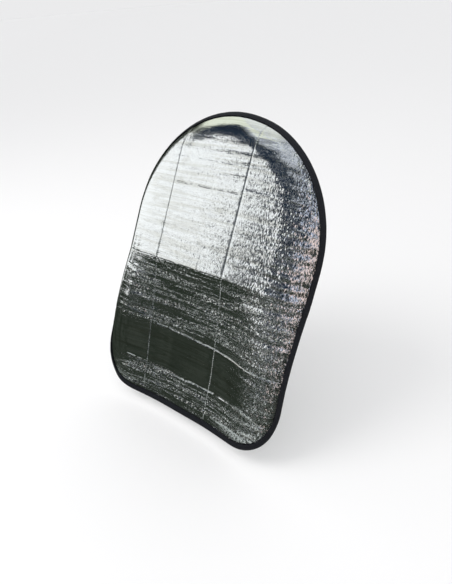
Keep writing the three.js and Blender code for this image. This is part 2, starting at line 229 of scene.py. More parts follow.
class Drape:
    """The flat pattern draped over the wheel. Across and up are metres on the pattern."""

    step = 0.0004

    def __init__(self, shade):
        wheel, pattern = shade.wheel, shade.pattern
        self.shade, self.wheel, self.pattern = shade, wheel, pattern
        self.rim_middle = (wheel.rim_diameter - wheel.rim_tube) / 2
        back = shade.laminate.thickness / 2 + wheel.rim_clearance + wheel.rim_tube / 2
        reach = wheel.wrap_radius - back
        self.crest = self.rim_middle - math.sqrt(
            reach ** 2 - (wheel.wrap_radius - wheel.rim_depth) ** 2)
        self.half = self.crest + wheel.side_wrap
        self.top = wheel.up + wheel.stretch * (self.crest + wheel.top_wrap)
        self.upper = self.directions(wheel.tilt)
        self.lower = self.directions(wheel.tilt - pattern.lower_turn)
        self.fold = self.upper[1] * wheel.rim_depth - self.upper[0] * wheel.up
        tape = shade.trim.tape_width
        self.line_half = self.half - tape
        self.line_bottom = tape - pattern.below_fold
        self.line_rise = self.top - tape - pattern.arch_start
        self.line_corner = pattern.corner_radius - tape
        self.corner_across = self.line_half - self.line_corner      # centre of a bottom corner
        self.corner_up = self.line_bottom + self.line_corner

    @staticmethod
    def directions(tilt):
        """Up along the panel, and out of its front."""
        return (Vector((0, math.sin(tilt), math.cos(tilt))),
                Vector((0, -math.cos(tilt), math.sin(tilt))))

    def hang(self, across, up, wrapped):
        """How far the sheet stands out of its plane, apart from the wrap."""
        pattern = self.pattern
        down = min(max(-up / pattern.below_fold, 0.0), 1.0)
        sides = smooth(abs(across), pattern.hollow_flat, self.half)
        hollow = -pattern.hollow * down * (2 - down) * (1 - sides)
        edge = (pattern.side_bow * math.sin(math.pi * down)
                - pattern.bottom_curl * down ** 4) * sides
        off = (across - self.shade.laminate.right_seal) / pattern.pleat_width
        pleat = smooth(wrapped, 0, pattern.pleat_run) * math.exp(-off * off)
        return hollow + edge - pattern.pleat_depth * pleat

    def middle(self, across, up):
        """Place of a pattern point on the draped sheet's middle surface."""
        wheel = self.wheel
        in_dome = up > wheel.up
        rise = (up - wheel.up) / wheel.stretch if in_dome else 0.0
        radius = math.hypot(across, rise)
        past = radius - self.crest
        wrapped = max(past, 0.0)
        fold, bottom = ((wheel.left_fold, wheel.left_bottom) if across < 0
                        else (wheel.right_fold, wheel.right_bottom))
        most = mix(fold, bottom, smooth(-up, 0, self.pattern.below_fold))
        turn = min(wrapped / wheel.wrap_radius, most)
        straight = wrapped - turn * wheel.wrap_radius
        reach = wheel.wrap_radius * math.sin(turn) + straight * math.cos(turn)
        depth = wheel.wrap_radius * (1 - math.cos(turn)) + straight * math.sin(turn)
        grown = (self.crest + reach) / radius if past > 0 else 1.0
        x = across * grown
        y = wheel.up + wheel.stretch * rise * grown if in_dome else up
        z = self.hang(across, up, wrapped) - depth
        blend = smooth(y, -self.pattern.fold_length / 2, self.pattern.fold_length / 2)
        low = self.lower[0] * y + self.lower[1] * z
        high = self.upper[0] * y + self.upper[1] * z
        return self.fold + low.lerp(high, blend) + Vector((x, 0, 0))

    def axes(self, across, up):
        """Directions over the sheet, along it and out of it at a pattern point."""
        over = self.middle(across + self.step, up) - self.middle(across - self.step, up)
        along = self.middle(across, up + self.step) - self.middle(across, up - self.step)
        return over.normalized(), along.normalized(), over.cross(along).normalized()

    def place(self, across, up, height):
        """Place of a point that lies that height above the middle surface."""
        return self.middle(across, up) + self.axes(across, up)[2] * height

    def wrapped(self, across, up):
        """Flat length between the rim's front and a pattern point outside it."""
        rise = max(up - self.wheel.up, 0.0) / self.wheel.stretch
        return max(math.hypot(across, rise) - self.crest, 0.0)

    def half_width(self, up):
        """Half the width inside the taped line at one height."""
        if up > self.pattern.arch_start:
            share = (up - self.pattern.arch_start) / self.line_rise
            return self.line_half * math.sqrt(max(1 - share ** 2, 0.0))
        drop = max(self.corner_up - up, 0.0)
        return self.corner_across + math.sqrt(max(self.line_corner ** 2 - drop ** 2, 0.0))

    def edge_normal(self, across, up):
        """Direction out of the pattern at a point of the taped line."""
        if up > self.pattern.arch_start:
            return Vector((across / self.line_half ** 2,
                           (up - self.pattern.arch_start) / self.line_rise ** 2)).normalized()
        beside = max(abs(across) - self.corner_across, 0.0)
        below = min(up - self.corner_up, 0.0)
        return Vector((math.copysign(beside, across), below)).normalized()

    def arch(self, across):
        """Height of the taped line over the top."""
        return (self.pattern.arch_start
                + self.line_rise * math.sqrt(max(1 - (across / self.line_half) ** 2, 0.0)))

    def sill(self, across):
        """Height of the taped line along the bottom."""
        beside = max(abs(across) - self.corner_across, 0.0)
        return self.corner_up - math.sqrt(self.line_corner ** 2 - beside ** 2)


# The panel

class PanelGrid:
    """Rows and columns of the panel's mesh, laid so that seal lines and creases fall on them."""

    fan = 4              # rows that turn a straight row into the curved one at the top or bottom
    cap_share = 0.55     # half width of the top row over that of the row below it
    corner_share = 0.42  # how much of a bottom corner's radius the bottom row takes in
    seal_reach = 0.75    # share of a short row that the seal lines keep inside
    margin = 4           # rings under the tape

    def __init__(self, drape):
        laminate = drape.shade.laminate
        self.drape, self.laminate = drape, laminate
        self.tape = drape.shade.trim.tape_width
        self.seals = (laminate.right_seal - laminate.seal_spacing, laminate.right_seal)
        self.creases = (laminate.upper_crease, 0.0, laminate.lower_crease,
                        laminate.bottom_crease - drape.pattern.below_fold)
        cell = laminate.cell
        self.bottom_half = drape.line_half - drape.line_corner * (1 - self.corner_share)
        first = math.ceil(drape.sill(self.bottom_half) / cell) + self.fan
        last = math.floor(drape.arch(0) / cell) - self.fan
        rows = [cell * k for k in range(first, last + 1)]
        for crease in self.creases:
            nearest = min(range(len(rows)), key=lambda k: abs(rows[k] - crease))
            rows[nearest] = crease
        self.rows = rows
        self.counts = [math.ceil((self.seals[0] + drape.line_half) / cell),
                       math.ceil(laminate.seal_spacing / cell),
                       math.ceil((drape.line_half - self.seals[1]) / cell)]
        self.columns = sum(self.counts) + 4
        self.lines = len(rows) - 1 + 2 * self.fan
        self.cap_half = self.cap_share * drape.half_width(rows[-1])

    def across(self, half, column):
        """Where a column crosses a row of that half width."""
        inside = self.seal_reach * half
        left, right = (min(max(seal, -inside), inside) for seal in self.seals)
        side = min(self.laminate.seal_width / 2, (half - inside) / 4)
        ends = [(-half, left - side), (left + side, right - side), (right + side, half)]
        for k, (count, (start, end)) in enumerate(zip(self.counts, ends)):
            if column <= count:
                return mix(start, end, column / count)
            column -= count + 1
            if column == 0:
                return left if k == 0 else right
            column -= 1
        return half

    def point(self, column, line):
        """Pattern point of one corner of the mesh inside the taped line."""
        drape, fan = self.drape, self.fan
        if line < fan:
            return self.fanned(column, line / fan, self.bottom_half, self.rows[0], drape.sill)
        if line > self.lines - fan:
            return self.fanned(column, (self.lines - line) / fan, self.cap_half, self.rows[-1],
                               drape.arch)
        up = self.rows[line - fan]
        return self.across(drape.half_width(up), column), up

    def fanned(self, column, share, end_half, row, curve):
        """A point between the curved row, where share is 0, and a straight one, where it is 1."""
        drape = self.drape
        end_up = mix(curve(end_half), row, share)
        half = drape.half_width(end_up)
        across = self.across(half, column)
        return across, mix(curve(across * end_half / half), row, share)


def wander(across, up, size, seed):
    """Smooth noise between about -1 and 1, with features of that size."""
    return noise.noise(Vector((across / size[0], up / size[1], seed)))


def ridge(distance, width):
    """1 on a line and falling away beside it."""
    return math.exp(-(distance / width) ** 2)


class Relief:
    """Ribs, creases, seal lines and wrinkles of the laminate, in metres."""

    crease_shares = (0.1, 0.3, 0.8, 0.5)  # depth of the upper crease, fold, lower and bottom crease
    rib_drift = 0.004
    broad, fine, hem = 0.0011, 0.00036, 0.0007  # soft wrinkles: broad, fine and along the bottom
    gather, frill = 0.0011, 0.0004        # wrinkles at right angles to the edge: coarse and fine
    pucker = 0.0004                       # wrinkles beside the seal lines
    free_from = 0.018                     # distance from the tape where the laminate is unsqueezed
    tucks = (  # start across and up, end across and up, sag, height, width
        (-0.176, -0.030, -0.092, -0.032, -0.006, 0.0005, 0.0030),
        (-0.160, -0.084, -0.096, -0.090, -0.002, 0.0004, 0.0030),
        (-0.086, -0.240, 0.010, -0.222, -0.004, 0.0008, 0.0050),
        (0.004, -0.226, 0.070, -0.232, 0.004, 0.0008, 0.0050),
        (0.060, -0.240, 0.176, -0.216, -0.006, 0.0014, 0.0060),
        (0.120, -0.190, 0.192, -0.214, 0.008, 0.0012, 0.0050),
        (0.128, -0.003, 0.204, -0.003, 0.000, 0.0024, 0.0080),
        (-0.080, 0.158, 0.048, 0.156, -0.002, 0.0004, 0.0040),
        (0.056, 0.139, 0.120, 0.133, 0.002, 0.0006, 0.0040),
    )

    def __init__(self, grid):
        self.grid = grid
        self.drape, self.laminate = grid.drape, grid.laminate

    def ribs(self, across, up):
        """The cross ribs, deeper below the fold and at the right."""
        laminate = self.laminate
        drift = self.rib_drift * wander(across, up, (0.110, 0.060), 3.1)
        swell = 0.55 + 0.75 * wander(across, up, (0.070, 0.045), 8.4)
        lower = 1.0 + 1.4 * smooth(-up, 0.0, 0.030) + 2.4 * smooth(across, 0.110, 0.150)
        return laminate.rib_depth * swell * lower * math.cos(
            2 * math.pi * (up + drift) / laminate.rib_pitch)

    def crumple(self, across, up):
        """Soft wrinkles that run over the width, deeper below the fold."""
        lower = mix(0.16, 1.0, smooth(-up, 0.0, 0.030))
        broad = self.broad * wander(across, up, (0.085, 0.030), 1.7)
        fine = self.fine * wander(across, up, (0.065, 0.009), 5.2)
        hem = smooth(-up, 0.205, 0.235) * self.hem * wander(across, up, (0.040, 0.008), 9.9)
        return lower * (broad + fine) + hem

    def skirt(self, across, up, wrapped):
        """Wrinkles at right angles to the edge, deepest in the gathered hood."""
        rise = max(up - self.drape.wheel.up, 0.0)
        around = (math.atan2(rise, abs(across)) * math.hypot(across, rise) if rise > 0
                  else up - self.drape.wheel.up)
        quiet = 0.5 if across > 0 else 0.92
        depth = smooth(wrapped, 0.010, 0.070) * (1 - quiet * smooth(-up, -0.020, 0.030))
        hand = math.copysign(1, across)
        coarse = wander(around, wrapped, (0.0115, 0.060), 2.2 + hand)
        fine = wander(around, wrapped, (0.0052, 0.030), 6.6 + hand)
        return depth * (self.gather * coarse + self.frill * fine)

    def tucked(self, across, up):
        """Short ridges where the sheet has been pinched."""
        total = 0.0
        for x0, y0, x1, y1, sag, height, width in self.tucks:
            share = (across - x0) / (x1 - x0)
            if -0.1 < share < 1.1:
                line = mix(y0, y1, share) + sag * math.sin(math.pi * min(max(share, 0), 1))
                ends = smooth(share, -0.1, 0.15) * (1 - smooth(share, 0.85, 1.1))
                total += height * ends * ridge(up - line, width)
        return total

    def at(self, across, up):
        """How far the sheet is moved out, and half its thickness."""
        laminate, grid = self.laminate, self.grid
        wrapped = self.drape.wrapped(across, up)
        inside = min(self.drape.half_width(up) - abs(across), self.drape.arch(across) - up,
                     up - self.drape.sill(max(min(across, grid.bottom_half), -grid.bottom_half)))
        free = smooth(inside, 0.0, self.free_from)
        crease = sum(share * ridge(up - line, laminate.crease_width)
                     for line, share in zip(grid.creases, self.crease_shares))
        seal = max(ridge(across - line, laminate.seal_width / 2) for line in grid.seals)
        pucker = max(ridge(across - line, 0.012) for line in grid.seals)
        flat = 1 - 0.9 * smooth(wrapped, 0.0, 0.020) if across < 0 else 1.0
        shift = (flat * (self.ribs(across, up) + self.crumple(across, up)) + self.tucked(across, up)
                 - laminate.crease_depth * crease
                 + self.pucker * pucker * wander(across, up, (0.020, 0.0065), 4.4))
        shift = shift * mix(0.12, 1.0, free) + free * flat * self.skirt(across, up, wrapped)
        puff = laminate.thickness / 2 - laminate.seal_depth * seal
        return shift, mix(laminate.edge_thickness / 2, puff, free)


def pattern_map(bm, spots):
    """Writes the flat pattern's coordinates, in metres, into the UV map named pattern."""
    layer = bm.loops.layers.uv.new("pattern")
    for face in bm.faces:
        for loop in face.loops:
            loop[layer].uv = spots[loop.vert]


def finish_mesh(bm, name, material, node=None):
    """Makes an object of a mesh, in place of a CAD node if one is named."""
    mesh = bpy.data.meshes.new(name)
    for face in bm.faces:
        face.smooth = True
    bm.to_mesh(mesh)
    bm.free()
    mesh.materials.append(material)
    piece = bpy.data.objects.new(name, mesh)
    bpy.context.scene.collection.objects.link(piece)
    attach(piece, BODY)
    if node:
        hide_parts(node)
    return piece


def build_panel(shade):
    """The laminate: two faces of one moved grid, joined round their edge."""
    drape = Drape(shade)
    grid = PanelGrid(drape)
    relief = Relief(grid)
    margin = grid.margin
    wide, tall = grid.columns + 2 * margin, grid.lines + 2 * margin
    bm = bmesh.new()
    bmesh.ops.create_grid(bm, x_segments=wide, y_segments=tall, size=1.0)
    spots = {}
    for vert in bm.verts:
        i = round((vert.co.x + 1) / 2 * wide) - margin
        j = round((vert.co.y + 1) / 2 * tall) - margin
        column, line = min(max(i, 0), grid.columns), min(max(j, 0), grid.lines)
        across, up = grid.point(column, line)
        rings = max(abs(i - column), abs(j - line))
        if rings:
            out = drape.edge_normal(across, up) * (grid.tape * rings / margin)
            across, up = across + out.x, up + out.y
        spots[vert] = (across, up)
    copy = bmesh.ops.duplicate(bm, geom=bm.verts[:] + bm.edges[:] + bm.faces[:])
    pairs = {old: new for old, new in copy["vert_map"].items() if old in spots}
    bmesh.ops.reverse_faces(bm, faces=[part for part in copy["geom"]
                                       if isinstance(part, bmesh.types.BMFace)])
    for vert, twin in pairs.items():
        spots[twin] = across, up = spots[vert]
        shift, half = relief.at(across, up)
        middle, normal = drape.middle(across, up), drape.axes(across, up)[2]
        vert.co = middle + normal * (shift + half)
        twin.co = middle + normal * (shift - half)
    bmesh.ops.bridge_loops(bm, edges=[edge for edge in bm.edges if edge.is_boundary])
    pattern_map(bm, spots)
    bmesh.ops.remove_doubles(bm, verts=bm.verts[:], dist=1e-6)
    piece = finish_mesh(bm, "foil_panel", foil_material(shade), "front_panel")
    drape.top + drape.pattern.below_fold
    flat_area(drape)


def flat_area(drape):
    """Area of the flat pattern in square metres: half an ellipse, a rectangle, two corners off."""
    pattern = drape.pattern
    arch = math.pi / 2 * drape.half * (drape.top - pattern.arch_start)
    block = 2 * drape.half * (pattern.arch_start + pattern.below_fold)
    corners = (2 - math.pi / 2) * pattern.corner_radius ** 2
    return arch + block - corners


# The edge tape and its stitches

def taped_line(drape, step):
    """Points of the taped line, evenly spaced, anticlockwise from the right end of the fold."""
    corner = drape.line_corner
    arcs = (  # centre across and up, radius across and up, start and sweep in half turns
        (0.0, drape.pattern.arch_start, drape.line_half, drape.line_rise, 0.0, 1.0),
        (-drape.corner_across, drape.corner_up, corner, corner, 1.0, 0.5),
        (drape.corner_across, drape.corner_up, corner, corner, 1.5, 0.5),
    )
    parts = 160
    coarse = [(x + wide * math.cos(math.pi * (start + sweep * k / parts)),
               y + tall * math.sin(math.pi * (start + sweep * k / parts)))
              for x, y, wide, tall, start, sweep in arcs for k in range(parts)]
    coarse.append(coarse[0])
    lengths = [math.dist(a, b) for a, b in zip(coarse, coarse[1:])]
    count = round(sum(lengths) / step)
    line, travelled, k = [], 0.0, 0
    for station in range(count):
        target = sum(lengths) * station / count
        while travelled + lengths[k] < target:
            travelled += lengths[k]
            k += 1
        share = (target - travelled) / lengths[k]
        line.append(tuple(mix(a, b, share) for a, b in zip(coarse[k], coarse[k + 1])))
    return line


def tape_section(shade, thickness, edge):
    """Points round the folded tape: distance out from the taped line, and height."""
    trim, laminate = shade.trim, shade.laminate
    inner = laminate.edge_thickness / 2 + trim.tape_ease
    outer = inner + thickness
    nose = trim.tape_width + trim.tape_ease
    row, sink = trim.stitch_row, trim.stitch_sink
    beside, inset, steps = 0.0006, 0.0005, 8
    front = [(edge + 0.10 * thickness, outer - 0.12 * thickness), (edge + 0.4 * thickness, outer),
             (row - beside, outer - sink / 2), (row, outer - sink),
             (row + beside, outer - sink / 2), (row + 0.0016, outer),
             (row + 0.0032, outer + sink / 3), (nose - outer, outer)]
    arc = [(nose - outer + trim.tape_thickness + outer * math.sin(math.pi * k / steps),
            outer * math.cos(math.pi * k / steps)) for k in range(1, steps)]
    back = [(out, -height) for out, height in reversed(front)]
    lower = [(edge, -inner - 0.4 * thickness), (edge + 0.0002, -inner), (nose - inset, -inner),
             (nose, -inner / 2)]
    upper = [(out, -height) for out, height in reversed(lower)]
    return front + arc + back + lower + upper


def in_lap(shade, across, up):
    """Whether the tape is doubled there."""
    top = shade.trim.lap_up
    return across > 0 and top - shade.trim.lap_length <= up <= top


def build_binding(shade):
    """The tape: one ring along the edge, and its stitches on both faces."""
    drape = Drape(shade)
    trim = shade.trim
    cell_along, cell_round = 0.0026, 0.0011
    ragged, wavy = 0.0004, 0.00022      # how far the tape's edge and its faces wander
    line = taped_line(drape, cell_along)
    points = len(tape_section(shade, trim.tape_thickness, 0.0))
    bm = bmesh.new()
    bmesh.ops.create_grid(bm, x_segments=len(line), y_segments=points, size=1.0)
    spots = {}
    sections = {}
    for vert in bm.verts:
        station = round((vert.co.x + 1) / 2 * len(line))
        corner = round((vert.co.y + 1) / 2 * points)
        k = station % len(line)
        across, up = line[k]
        if k not in sections:
            thickness = trim.tape_thickness * (2 if in_lap(shade, across, up) else 1)
            edge = ragged * wander(across, up, (0.018, 0.018), 7.7)
            sections[k] = tape_section(shade, thickness, edge)
        outward, height = sections[k][corner % points]
        wave = wavy * wander(across, up, (0.009, 0.009), height * 900)
        normal = drape.edge_normal(across, up)
        vert.co = drape.place(across + normal.x * outward, up + normal.y * outward, height + wave)
        spots[vert] = (station * cell_along, corner * cell_round)
    pattern_map(bm, spots)
    bmesh.ops.reverse_faces(bm, faces=bm.faces[:])
    bmesh.ops.remove_doubles(bm, verts=bm.verts[:], dist=1e-6)
    piece = finish_mesh(bm, "edge_tape", tape_material(shade), "edge_binding")
    stitches = build_stitches(shade, drape)


def add_stitch(bm, place, along, out, length_, thickness):
    """One short stitch, as a thin bead of thread."""
    side = out.cross(along)
    turned = Matrix((along * length_ / 2, side * thickness, out * thickness)).transposed().to_4x4()
    bmesh.ops.create_icosphere(bm, subdivisions=1, radius=1.0,
                               matrix=Matrix.Translation(place) @ turned)


def build_stitches(shade, drape):
    """The seam that holds the tape, on both faces."""
    trim, laminate = shade.trim, shade.laminate
    bedded = 0.0001      # how deep the thread lies in the tape
    height = laminate.edge_thickness / 2 + trim.tape_ease + trim.tape_thickness - bedded
    bm = bmesh.new()
    line = taped_line(drape, trim.stitch_pitch)
    for k, (across, up) in enumerate(line):
        after = Vector(line[(k + 1) % len(line)])
        normal = drape.edge_normal(across, up)
        spot = Vector((across, up)) + normal * trim.stitch_row
        ahead = after + drape.edge_normal(*after) * trim.stitch_row
        lift = trim.tape_thickness if in_lap(shade, across, up) else 0.0
        for face in (1, -1):
            level = face * (height + lift)
            place = drape.place(spot.x, spot.y, level)
            along = (drape.place(ahead.x, ahead.y, level) - place).normalized()
            out = drape.axes(spot.x, spot.y)[2] * face
            add_stitch(bm, place, along, out, trim.stitch_length, trim.thread / 2)
    return finish_mesh(bm, "tape_stitches", thread_material(shade))


# The strap

def strap_path(shade, drape):
    """Middle of the strap from its right tab to its middle, across and out."""
    trim, laminate, wheel = shade.trim, shade.laminate, shade.wheel
    seat = -(laminate.edge_thickness / 2 + trim.tape_ease + trim.tape_thickness
             + trim.strap_seat + trim.strap_thickness / 2)

    def wrap_point(wrapped):
        turn = wrapped / wheel.wrap_radius
        radius = wheel.wrap_radius + seat
        return Vector((drape.crest + radius * math.sin(turn),
                       radius * math.cos(turn) - wheel.wrap_radius))

    start, end = wrap_point(wheel.side_wrap - trim.tape_width), wrap_point(wheel.side_wrap)
    behind = -(wheel.rim_depth + wheel.rim_tube / 2 + trim.strap_clearance
               + trim.strap_thickness / 2)
    rim = math.sqrt(drape.rim_middle ** 2 - (wheel.up - trim.strap_up) ** 2)
    turn = end + (end - start).normalized() * trim.strap_bend / 2
    shoulder = Vector((rim + wheel.rim_tube / 2, behind))
    leg = (shoulder - turn).normalized()
    bend = trim.strap_bend / 2
    return (line_points(start, end, 6)
            + curve_points(end, turn, turn + leg * bend, 8)
            + line_points(turn + leg * bend, shoulder - leg * bend, 8)
            + curve_points(shoulder - leg * bend, shoulder, shoulder - Vector((bend, 0)), 8)
            + line_points(shoulder - Vector((bend, 0)), Vector((0, behind)), 40)
            + [Vector((0, behind))])


def line_points(start, end, count):
    """Evenly spaced points, without the last."""
    return [start.lerp(end, k / count) for k in range(count)]


def curve_points(start, control, end, count):
    """Points of a quadratic curve, without the last."""
    return [start.lerp(control, k / count).lerp(control.lerp(end, k / count), k / count)
            for k in range(count)]


def build_strap(shade):
    """The strap: a flat band along its path, closed at both ends."""
    drape = Drape(shade)
    trim = shade.trim
    half = strap_path(shade, drape)
    path = half + [Vector((-p.x, p.y)) for p in reversed(half[:-1])]
    width, thick = trim.strap_width, trim.strap_thickness
    rows = 10
    ring = ([(-0.5 + k / rows, 0.5) for k in range(rows + 1)]
            + [(0.5 - k / rows, -0.5) for k in range(rows + 1)])
    upright, out = drape.upper
    bm = bmesh.new()
    bmesh.ops.create_grid(bm, x_segments=len(path) - 1, y_segments=len(ring), size=1.0)
    spots = {}
    travelled = [0.0]
    for before, after in zip(path, path[1:]):
        travelled.append(travelled[-1] + (after - before).length)
    for vert in bm.verts:
        k = round((vert.co.x + 1) / 2 * (len(path) - 1))
        corner = round((vert.co.y + 1) / 2 * len(ring)) % len(ring)
        over, level = ring[corner]
        along = (path[min(k + 1, len(path) - 1)] - path[max(k - 1, 0)]).normalized()
        side = Vector((-along.y, along.x))
        selvedge = 0.7 if abs(over) > 0.49 else 1.0      # thinner at both edges
        spot = path[k] + side * (level * thick * selvedge)
        vert.co = (drape.fold + Vector((spot.x, 0, 0)) + out * spot.y
                   + upright * (trim.strap_up + over * width))
        spots[vert] = (travelled[k], over * width)
    pattern_map(bm, spots)
    bmesh.ops.remove_doubles(bm, verts=bm.verts[:], dist=1e-6)
    bmesh.ops.holes_fill(bm, edges=[edge for edge in bm.edges if edge.is_boundary], sides=0)
    bmesh.ops.recalc_face_normals(bm, faces=bm.faces[:])
    piece = finish_mesh(bm, "strap_band", elastic_material(shade), "elastic_strap")


# Shader maths

def joined(operation):
    """The two methods of an operator: with a socket first, and with a number first."""
    return (lambda shade, other: shade.math(operation, shade, other),
            lambda shade, other: shade.math(operation, other, shade))


class Shade:
    """A socket of a node tree. Sums written on it add nodes."""

    __add__, __radd__ = joined("ADD")
    __sub__, __rsub__ = joined("SUBTRACT")
    __mul__, __rmul__ = joined("MULTIPLY")
    __pow__, __rpow__ = joined("POWER")

    def __init__(self, maker, socket):
        self.maker, self.socket = maker, socket

    def math(self, operation, *values):
        return self.maker.value("ShaderNodeMath", {"operation": operation}, dict(enumerate(values)))

    def __abs__(self):
        return self.math("ABSOLUTE", self)

    def wave(self, length_):
        """A sine wave of that length."""
        return self.math("SINE", self * (2 * math.pi / length_))

    def low(self, other):
        return self.math("MINIMUM", self, other)

    def high(self, other):
        return self.math("MAXIMUM", self, other)

    def smooth(self, low, high):
        """0 below low and 1 above high, or the other way round if low is the larger."""
        return self.maker.value("ShaderNodeMapRange", {"interpolation_type": "SMOOTHSTEP"},
                                {"Value": self, "From Min": low, "From Max": high})

    def band(self, low, high, soft):
        """1 between low and high, with soft ends."""
        return self.smooth(low - soft, low + soft) * self.smooth(high + soft, high - soft)


class NodeMaker:
    """Makes the nodes of one tree."""

    def __init__(self, owner):
        owner.use_nodes = True
        self.tree = owner.node_tree
        self.tree.nodes.clear()

    def node(self, kind, settings=None, sockets=None):
        """Adds a node of that type, with its settings, then its sockets' values or links."""
        made = self.tree.nodes.new(kind)
        for name, value in (settings or {}).items():
            setattr(made, name, value)
        for key, value in (sockets or {}).items():
            if isinstance(value, Shade):
                self.tree.links.new(value.socket, made.inputs[key])
            else:
                made.inputs[key].default_value = value
        return made

    def value(self, kind, settings=None, sockets=None, output=0):
        return Shade(self, self.node(kind, settings, sockets).outputs[output])

    def blend(self, share, first, second):
        """A colour that lies that share of the way from the first to the second."""
        first, second = (end if isinstance(end, Shade) else (*end, 1.0) for end in (first, second))
        return self.value("ShaderNodeMix", {"data_type": "RGBA", "clamp_factor": True},
                          {0: share, 6: first, 7: second}, 2)

    def stretch(self, vector, factors):
        return self.value("ShaderNodeVectorMath", {"operation": "MULTIPLY"},
                          {0: vector, 1: factors})

    def noise(self, vector, size, detail=2.0, rough=0.5):
        """Noise between 0 and 1 whose features have that size over and along, in metres."""
        spread = self.stretch(vector, (1 / size[0], 1 / size[1], 1.0))
        return self.value("ShaderNodeTexNoise", {"noise_dimensions": "2D"},
                          {"Vector": spread, "Scale": 1.0, "Detail": detail, "Roughness": rough})

    def facets(self, vector, size, rarity):
        """Flat facets tilted at random, as in crinkled foil. Higher rarity leaves fewer steep."""
        spread = self.stretch(vector, (1 / size[0], 1 / size[1], 1.0))
        cell = self.node("ShaderNodeTexVoronoi", {"voronoi_dimensions": "2D"},
                         {"Vector": spread, "Scale": 1.0}).outputs
        centre, chance = Shade(self, cell["Position"]), Shade(self, cell["Color"])
        off = self.value("ShaderNodeVectorMath", {"operation": "SUBTRACT"},
                         {0: spread, 1: centre})
        lean = self.value("ShaderNodeVectorMath", {"operation": "SUBTRACT"},
                          {0: chance, 1: (0.5, 0.5, 0.5)})
        rise = self.value("ShaderNodeVectorMath", {"operation": "DOT_PRODUCT"},
                          {0: off, 1: lean}, 1)
        steep = self.parts(chance)[2]
        return rise * steep ** rarity

    def parts(self, vector):
        made = self.node("ShaderNodeSeparateXYZ", sockets={0: vector})
        return [Shade(self, output) for output in made.outputs]


def material_with(name, build):
    """A material whose surface is one Principled shader. build gives its sockets' values."""
    material = bpy.data.materials.new(name)
    maker = NodeMaker(material)
    pattern = maker.value("ShaderNodeUVMap", {"uv_map": "pattern"})
    sockets = build(maker, pattern)
    height = sockets.pop("Height")
    sockets["Normal"] = maker.value("ShaderNodeBump", None,
                                    {"Height": height, "Distance": 1.0, "Strength": 1.0})
    surface = maker.value("ShaderNodeBsdfPrincipled", None, sockets)
    maker.node("ShaderNodeOutputMaterial", None, {"Surface": surface})
    return material


FINE_CREASES = (  # start across and up, end across and up, depth
    (-0.088, 0.137, 0.052, 0.136, 0.00024), (0.060, 0.134, 0.130, 0.131, 0.00016),
    (-0.070, 0.157, 0.046, 0.155, 0.00012), (-0.050, 0.181, 0.020, 0.180, 0.00009),
    (0.135, 0.142, 0.160, 0.140, -0.00045), (0.138, 0.106, 0.188, 0.099, -0.00045),
    (0.139, 0.076, 0.168, 0.074, -0.00045), (-0.230, 0.0005, 0.060, 0.0005, 0.00016),
    (-0.165, -0.026, -0.092, -0.032, 0.00080), (-0.160, -0.100, -0.092, -0.112, 0.00060),
    (-0.086, -0.120, 0.196, -0.126, 0.00080), (-0.136, -0.196, -0.094, -0.200, 0.00045),
    (-0.076, -0.206, 0.150, -0.197, 0.00080), (0.144, -0.197, 0.194, -0.210, 0.00080),
)


def foil_material(shade):
    """Metallised film: bright, with fine upright dashes, crinkles and dull crease lines, and
    painted shade in darker rows.
    """
    finish = shade.finish

    def build(maker, pattern):
        across, up = maker.parts(pattern)[:2]
        # Sizes and heights are in metres on the flat pattern.
        # Where the film is crinkled: rows below the fold and at the bottom, and the right side
        rows = maker.noise(pattern, (0.150, 0.0070), 3.0, 0.55)
        gathered = up.band(-0.118, -0.004, 0.008) + up.smooth(-0.195, -0.215)
        edge = across.smooth(0.125, 0.150)
        right = across.smooth(0.080, 0.138) * 0.55 + edge * 0.65
        # Where it is smooth: the left edge, the top and the middle of the lower half
        left = across.smooth(-0.120, -0.175)
        top, below = up.smooth(0.222, 0.230) * across.smooth(0.080, 0.030), up.smooth(0.004, -0.008)
        middle = up.band(-0.196, -0.128, 0.006) * (1.0 - edge)
        quiet = (left * -0.85 + 1.0) * (top * -0.7 + 1.0) * (middle * -0.7 + 1.0)
        dashes = maker.facets(pattern, (0.0012, 0.0034), 0.8) * quiet * (right * 0.0011 + 0.00016)
        flecks = maker.facets(pattern, (0.0017, 0.0018), 1.2) * quiet * (
            gathered * (rows.smooth(0.49, 0.58) * 0.0038 + 0.0001)
            + right * below * 0.0007 + 0.00013)
        crinkle = maker.noise(pattern, (0.0300, 0.0052), 2.5, 0.6) * (below * -0.00012 + 0.00020)
        grain = maker.noise(pattern, (0.0008, 0.0013), 1.0) * 0.00002
        height = dashes + flecks + crinkle + grain
        # Fine creases: grooves that wander and break off
        wander = maker.noise(pattern, (0.030, 0.010), 2.0) * 0.0030 - 0.0015
        broken = maker.noise(pattern, (0.0130, 0.0060), 2.0).smooth(0.30, 0.58)
        for x0, y0, x1, y1, depth in FINE_CREASES:
            off = up + wander - y0 - (across - x0) * ((y1 - y0) / (x1 - x0))
            line = abs(off).smooth(0.0018, 0.0) * across.band(x0, x1, 0.004)
            height = height - line * broken * depth
        # Seal lines: embossed with small bars across
        knurl = up.wave(0.0034) * 0.5 + 0.5
        right_seal = shade.laminate.right_seal
        for seal in (right_seal, right_seal - shade.laminate.seal_spacing):
            off = across - seal
            height = height - abs(off).smooth(0.0017, 0.0004) * knurl * (below * 0.00010 + 0.00026)
        dull = maker.noise(pattern, (0.030, 0.018), 3.0)
        # Share of the darker colour: painted shade in rows from the row noise, plus random duller
        # patches
        shade_and_mottle = rows.smooth(0.42, 0.70) * 0.50 + dull.smooth(0.56, 0.80) * 0.3
        return {
            "Base Color": maker.blend(shade_and_mottle, tuple(finish.foil), tuple(finish.foil_shade_and_mottle)),
            "Metallic": 1.0,
            "Roughness": dull * 0.08 + (finish.foil_roughness - 0.04),
            "Height": height,
        }

    return material_with("metallised_foil", build)


